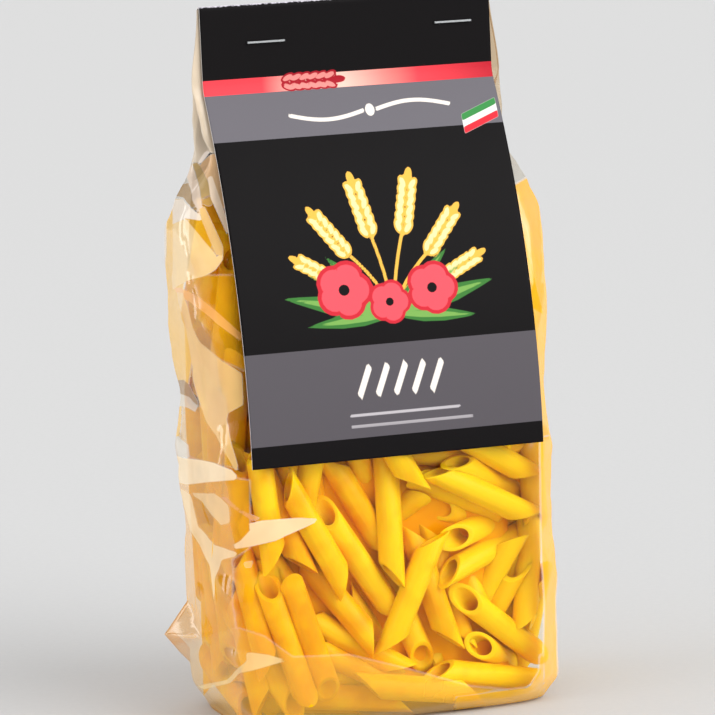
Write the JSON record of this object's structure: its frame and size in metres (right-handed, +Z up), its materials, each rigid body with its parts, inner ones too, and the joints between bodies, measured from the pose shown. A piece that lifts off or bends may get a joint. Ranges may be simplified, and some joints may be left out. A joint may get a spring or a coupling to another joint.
{
  "type": "pasta packet",
  "caption": "Clear gusseted film bag filled with short tube pasta, closed by a stapled header card and standing on its flat block base.",
  "frame": {"origin": "middle of the flat base that the packet stands on", "axes": "+Z up, -Y towards the front that carries the printed card panel, +X to the front's right"},
  "size_m": [0.1296, 0.0732, 0.2354],
  "materials": {
    "film_and_pasta": "durum wheat pasta under clear glossy polypropylene film",
    "printed_card": "printed card with a thin gloss varnish",
    "staple_wire": "bright galvanised wire"
  },
  "bodies": {
    "root": {"bag": "film_and_pasta", "header_card": "printed_card", "staple_left": "staple_wire", "staple_right": "staple_wire"}
  },
  "joints": []
}
